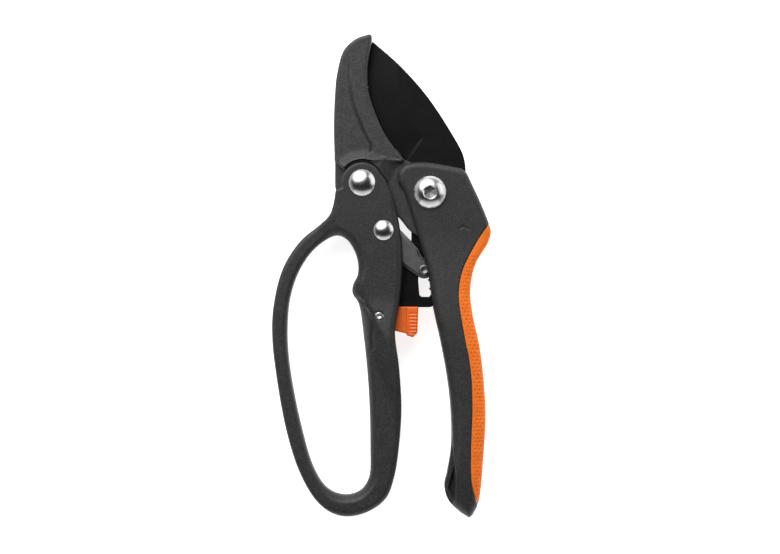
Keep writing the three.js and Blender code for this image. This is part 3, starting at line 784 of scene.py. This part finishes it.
def make_bolt():
    """The main bolt: a plain shank down to the floor, and a domed head with a hexagon socket."""
    seat, top = CHEEK_HALF + INSIDE, CHEEK_HALF + BOLT["top"]
    shank, hexagon = BOLT["shank"], BOLT["socket"]
    profile = [(AXIS, -MID_HEIGHT), (shank - 0.4, -MID_HEIGHT), (shank, 0.4 - MID_HEIGHT), (shank, seat),
               (BOLT["head"] - 0.1, seat),
               *dome(BOLT["head"], top - BOLT["cap"], BOLT["cap"], BOLT["socket_rim"]),
               (3, top - 0.66), (2.75, top - 0.85), (hexagon, top - 1, 1), (hexagon, top - 1.9, 1),
               (AXIS, top - 2.1)]
    place_piece(turned("pivot_bolt_body", MAIN, profile), "blade_side", "chrome", CHROME, "pivot_bolt")


# The ratchet link's two cheeks, the ratchet pin, the thumb latch and its pin

LINK_BORE = 2.7
LINK_PIN_BORE = 1.75
LINK_EDGE = {"fall": 0.3, "rounding": 0.2}


def link_outline():
    return [*arc(LINK_RIVET, 5.4, 48, 225, 40), (-11.8, -31.8), (-5, -36.6), *arc(NOTCH, 3.8, 235, 375, 30),
            (-3.6, -27.4), (-4.9, -24.6), (-8.3, -20.8)]


def make_link(name, step=0.2):
    outline = link_outline()
    low, high = heights(name)
    centre = (low + high) / 2
    g = Grid(outline, half_depth(name), step, z_centre=centre)
    side = polygon(g, outline)
    half = half_depth(name) - LINK_EDGE["fall"] * ease(-1.3, -0.6, side)
    field = plate(g, side, half, LINK_EDGE["rounding"], centre)
    field = cut(field, prism(g, disc(g, LINK_RIVET, LINK_BORE)), prism(g, disc(g, NOTCH, LINK_PIN_BORE)))
    place_piece(skin(f"{name}_body", g, field), "ratchet_link", "satin_steel", SATIN_STEEL, name)


def two_ended(low, high, ends):
    """A profile that is the same at both ends, from (radius, distance from the end) points."""
    return [(r, low + d) for r, d in ends] + [(r, high - d) for r, d in reversed(ends)]


def make_ratchet_pin():
    ends = [(AXIS, 0.35), (0.9, 0.35), (1.15, 0.1), (1.6, 0), (2.1, 0.1), (2.35, 0.5), (2.35, 0.95),
            (1.6, 0.95)]
    pin = turned("ratchet_pin_body", NOTCH, two_ended(*heights("ratchet_pin"), ends), 64, 50)
    place_piece(pin, "ratchet_link", "satin_steel", SATIN_STEEL, "ratchet_pin")


def make_latch_pin():
    ends = [(AXIS, 0.45), (0.6, 0.4), (0.95, 0.12), (1.15, 0.02), (1.4, 0.08), (1.7, 0.45)]
    pin = turned("latch_pin_body", LATCH_PIVOT, two_ended(*heights("latch_pin"), ends), 64, 50)
    place_piece(pin, "loop_side", "chrome", CHROME, "latch_pin")


LATCH_STEM = [(-19, -58), (-14.8, -60.2), (-9.9, -61.4), (-9.4, -49.6), (-13.9, -49.6), (-14.5, -49),
              (-16.1, -50.4), (-19.6, -50.9)]
LATCH_PAD = [(-10.1, -49.6), (-5, -49.6), (-5.4, -60.9), (-7.4, -62.9), (-10.1, -62)]
LATCH_BORE = 1.9
STEM_HALF = 4.2
RIDGE = {"pitch": 1.45, "sunk": 0.34, "first": -52.6, "from_stem": (-9.4, -8.6), "top": (52, 52.6),
         "bottom": (61, 61.6)}


def make_latch(step=0.2):
    stem = [*arc(LATCH_PIVOT, 3.3, 100, 250, 30), *LATCH_STEM]
    g = Grid(stem + LATCH_PAD, LATCH_HALF, step)
    ridged = ease(*RIDGE["from_stem"], g.x) * ease(*RIDGE["top"], -g.y) * (1 - ease(*RIDGE["bottom"], -g.y))
    wave = 0.5 + 0.5 * np.cos(2 * math.pi * (g.y - RIDGE["first"]) / RIDGE["pitch"])
    pad = plate(g, polygon(g, LATCH_PAD), LATCH_HALF - RIDGE["sunk"] * ridged * wave, 0.7)
    field = join(plate(g, polygon(g, stem), STEM_HALF, 0.5), pad, 0.4)
    tang = np.maximum(polygon(g, blade_outline()) - 0.12, 0.1 - polygon(g, LOCK_NOTCH))
    field = cut(field, prism(g, disc(g, LATCH_PIVOT, LATCH_BORE)), prism(g, tang, HUB_IN), edge=0.1)
    place_piece(skin("latch_body", g, field), "thumb_latch", "latch_plastic", LATCH_PLASTIC, "latch")


# The opening spring: turns of wire round the link's rivet, a leg on the handle's web and a leg on the links

SPRING = {"wire": 0.55, "coil": 3.7, "turns": 1.6, "start": 190, "web": (-26.2, -26.5), "leg": 5}
WIRE_SIDES = 16


def spring_route():
    """The wire's centre line: a leg from the web, the turns, and a straight leg onto the link."""
    rise = SPRING["turns"] * SPRING["wire"]
    sweep = 360 * SPRING["turns"]
    turns = arc(LINK_RIVET, SPRING["coil"], SPRING["start"], SPRING["start"] - sweep, 90)
    levels = np.linspace(-rise, rise, len(turns))
    end = math.radians(SPRING["start"] - sweep)
    leg = (turns[-1][0] + SPRING["leg"] * math.sin(end), turns[-1][1] - SPRING["leg"] * math.cos(end))
    return [(*SPRING["web"], -rise), *[(x, y, z) for (x, y), z in zip(turns, levels)], (*leg, rise)]


def make_spring():
    """A round wire along the route, as a tube of rings."""
    route = [Vector(p) for p in spring_route()]
    points, faces, sides = [], [], WIRE_SIDES
    for i, centre in enumerate(route):
        along = (route[min(i + 1, len(route) - 1)] - route[max(i - 1, 0)]).normalized()
        across = along.cross(Vector((0, 0, 1))).normalized()
        up = across.cross(along)
        for k in range(sides):
            a = 2 * math.pi * k / sides
            points.append((centre + SPRING["wire"] * (math.cos(a) * across + math.sin(a) * up)
                           + Vector((0, 0, MID_HEIGHT))) * MM)
    for i in range(len(route) - 1):
        for k in range(sides):
            n = (k + 1) % sides
            faces.append((i * sides + k, (i + 1) * sides + k, (i + 1) * sides + n, i * sides + n))
    faces += [tuple(range(sides)), tuple(range((len(route) - 1) * sides, len(route) * sides))[::-1]]
    place_piece(mesh_piece("opening_spring_wire", points, faces, 40), "loop_side", "satin_steel", CHROME,
                "opening_spring")


make_blade()
make_jaw()
make_right_handle()
make_grip()
make_left_handle()
make_rivet("jaw_rivet", "jaw_side", JAW_RIVET, head_r=5.7, head_height=2.6)
make_rivet("link_rivet", "loop_side", LINK_RIVET, head_r=4.3, head_height=2.0)
make_bolt()
make_link("link_front")
make_link("link_rear")
make_ratchet_pin()
make_latch()
make_latch_pin()
make_spring()

CARRIED = {"anvil_pad": ANVIL_METAL, "pivot_bush": SATIN_STEEL, "pivot_washer": CHROME, "pivot_nut": CHROME,
           "jaw_rivet_washer": SATIN_STEEL, "link_rivet_washer": SATIN_STEEL, "link_spacer_front": NYLON,
           "link_spacer_rear": NYLON, "spring_sleeve": SATIN_STEEL}
CARRIED_BEVEL = 0.15


def dress_carried():
    """Gives each CAD node that stays its material and eased edges."""
    for node, material in CARRIED.items():
        cad = frame["nodes"][node]
        cad.data.materials.clear()
        cad.data.materials.append(material)
        bevel = cad.modifiers.new("eased_edges", "BEVEL")
        bevel.width = CARRIED_BEVEL * MM
        bevel.segments = 2
        bevel.limit_method = "ANGLE"


dress_carried()


# Floor, lights and camera

VIEW_CENTRE = Vector((-17.3, -36.7, MID_HEIGHT)) * MM
VIEW_WIDTH = 340.5 * MM
CAMERA_HEIGHT = 0.95
SENSOR = 36.0
FLOOR_REACH = 3.0
FLOOR_GLOW = 0.8


def make_floor():
    """A plain pale floor that stays white under the object's soft shadow."""
    corners = [(x * FLOOR_REACH, y * FLOOR_REACH, 0) for x, y in ((-1, -1), (1, -1), (1, 1), (-1, 1))]
    floor = mesh_piece("floor", corners, [(0, 1, 2, 3)])
    m = Nodes("floor")
    m.set(Specular_IOR_Level=0.2)
    m.feed(m.ramp(m.noise(40), (0.9, 0.9, 0.9), (0.93, 0.93, 0.93)), "Base Color")
    m.feed(m.ramp(m.noise(400), 0.7, 0.85), "Roughness")
    m.set(Emission_Color=(1, 1, 1, 1), Emission_Strength=FLOOR_GLOW)
    floor.data.materials.append(m.material)


PANEL_PEAK = 2.3       # middle of a faded panel against an even one of the same energy
WALLS = {"up_to": 0.15, "value": 0.6}
CEILING = {"from": 0.42, "value": 0.01}


def area_light(name, direction, distance, size, radiance, faded=False):
    """A soft panel that faces the object from a direction given as (azimuth, angle from overhead)."""
    azimuth, lean = (math.radians(v) for v in direction)
    offset = Vector((math.cos(azimuth) * math.sin(lean), math.sin(azimuth) * math.sin(lean), math.cos(lean)))
    data = bpy.data.lights.new(name, "AREA")
    data.shape = "RECTANGLE"
    data.size, data.size_y = size
    data.energy = radiance * math.pi * size[0] * size[1]
    if faded:
        fade_edges(data)
    light = bpy.data.objects.new(name, data)
    bpy.context.scene.collection.objects.link(light)
    light.location = VIEW_CENTRE + offset * distance
    light.rotation_euler = (-offset).to_track_quat("-Z", "Y").to_euler()
    light.visible_camera = False


def fade_edges(data):
    """Makes a panel brightest in its middle, as a diffuser over a lamp is."""
    data.use_nodes = True
    tree = data.node_tree
    emission = tree.nodes["Emission"]
    geometry = tree.nodes.new("ShaderNodeNewGeometry")
    centred = tree.nodes.new("ShaderNodeMapping")
    centred.inputs["Location"].default_value = (-1.0, -1.0, 0)
    centred.inputs["Scale"].default_value = (2.0, 2.0, 0)
    gradient = tree.nodes.new("ShaderNodeTexGradient")
    gradient.gradient_type = "SPHERICAL"
    level = tree.nodes.new("ShaderNodeMapRange")
    level.inputs["From Max"].default_value = 1.0
    level.inputs["To Min"].default_value = 0.0
    level.inputs["To Max"].default_value = PANEL_PEAK
    tree.links.new(geometry.outputs["Parametric"], centred.inputs["Vector"])
    tree.links.new(centred.outputs["Vector"], gradient.inputs["Vector"])
    tree.links.new(gradient.outputs["Fac"], level.inputs["Value"])
    tree.links.new(level.outputs["Result"], emission.inputs["Strength"])


def make_lights():
    area_light("softbox_upper_left", direction=(112, 46), distance=1.5, size=(2.8, 2.3), radiance=2.85,
               faded=True)
    area_light("softbox_right", direction=(22, 68), distance=1.5, size=(1.5, 0.75), radiance=1.4)
    area_light("card_below", direction=(-90, 72), distance=1.4, size=(2.8, 1.0), radiance=0.8)
    make_studio()


def make_studio():
    """Pale walls under a dark ceiling, for the metal to reflect."""
    world = bpy.data.worlds.new("studio")
    world.use_nodes = True
    tree = world.node_tree
    direction = tree.nodes.new("ShaderNodeTexCoord")
    split = tree.nodes.new("ShaderNodeSeparateXYZ")
    ramp = tree.nodes.new("ShaderNodeValToRGB")
    tree.links.new(direction.outputs["Generated"], split.inputs["Vector"])
    tree.links.new(split.outputs["Z"], ramp.inputs["Fac"])
    tree.links.new(ramp.outputs["Color"], tree.nodes["Background"].inputs["Color"])
    stops = [(WALLS["up_to"], WALLS["value"]), (CEILING["from"], CEILING["value"])]
    for element, (position, value) in zip(ramp.color_ramp.elements, stops):
        element.position = position
        element.color = (value, value, value, 1)
    bpy.context.scene.world = world


def make_camera():
    """Straight above the object, with its width set by VIEW_WIDTH."""
    data = bpy.data.cameras.new("camera")
    data.sensor_width = SENSOR
    data.lens = SENSOR * CAMERA_HEIGHT / VIEW_WIDTH
    camera = bpy.data.objects.new("camera", data)
    bpy.context.scene.collection.objects.link(camera)
    camera.location = VIEW_CENTRE + Vector((0, 0, CAMERA_HEIGHT))
    bpy.context.scene.camera = camera
    bpy.context.scene.view_settings.view_transform = "Standard"


make_floor()
make_lights()
make_camera()
